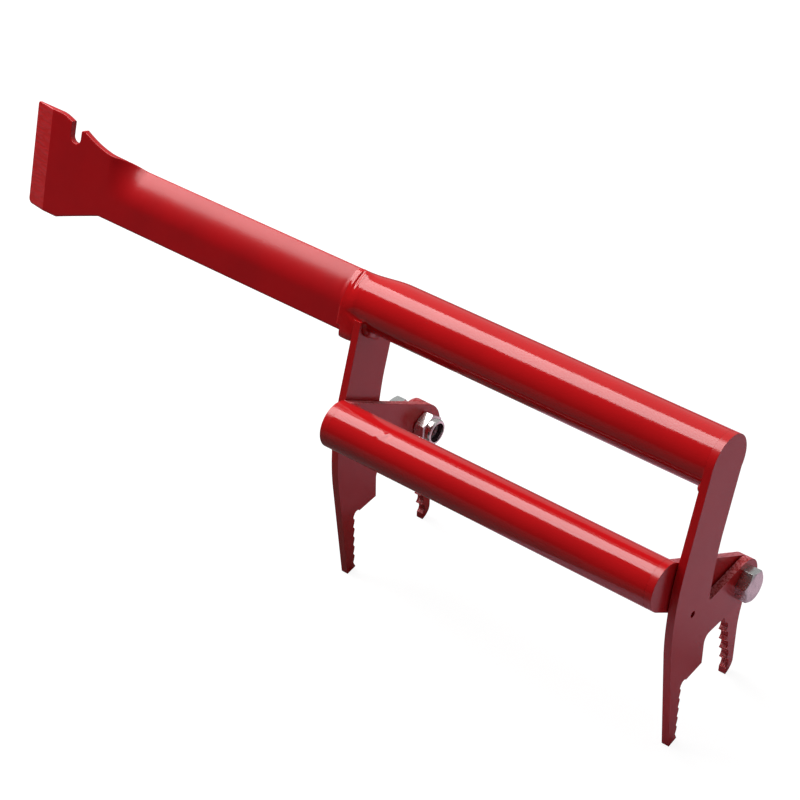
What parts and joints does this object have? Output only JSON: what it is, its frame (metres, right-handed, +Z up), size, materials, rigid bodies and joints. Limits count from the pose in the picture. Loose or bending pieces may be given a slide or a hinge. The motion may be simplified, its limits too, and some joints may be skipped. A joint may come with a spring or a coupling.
{
  "type": "beehive frame grip",
  "caption": "Red enamelled beehive frame grip: two fixed jaws and a pair of swing jaws on tube handles, with a notched scraper blade.",
  "frame": {"origin": "on the ground plane under the middle of the bounding box, with the grip standing on its four jaw tips", "axes": "+X along the handles, from the scraper towards the right jaw; +Z up; -Y is the side the lower handle is on"},
  "size_m": [0.3736, 0.0752, 0.1577],
  "materials": {
    "red_enamel": "gloss",
    "zinc_plate": "satin",
    "nylon": "matte"
  },
  "bodies": {
    "frame": {"scraper": "red_enamel", "scraper_weld": "red_enamel", "upper_handle_tube": "red_enamel", "left_fixed_jaw": "red_enamel", "right_fixed_jaw": "red_enamel", "left_jaw_outer_weld": "red_enamel", "left_jaw_inner_weld": "red_enamel", "right_jaw_weld": "red_enamel", "left_pivot_bolt": "zinc_plate", "left_spring_washer": "zinc_plate", "left_spacer": "zinc_plate", "right_pivot_bolt": "zinc_plate", "left_lock_nut": "zinc_plate", "right_lock_nut": "zinc_plate", "left_nylon_insert": "nylon", "right_nylon_insert": "nylon"},
    "swing_grip": {"lower_handle_tube": "red_enamel", "left_swing_jaw": "red_enamel", "right_swing_jaw": "red_enamel", "left_swing_weld": "red_enamel", "right_swing_weld": "red_enamel"}
  },
  "joints": [
    {"name": "jaw_pivot", "type": "hinge", "parent": "frame", "child": "swing_grip", "pos_m": [0.09471, 0.02525, 0.05365], "axis": [-1, 0, 0], "range_deg": [-40, 25.5]}
  ]
}
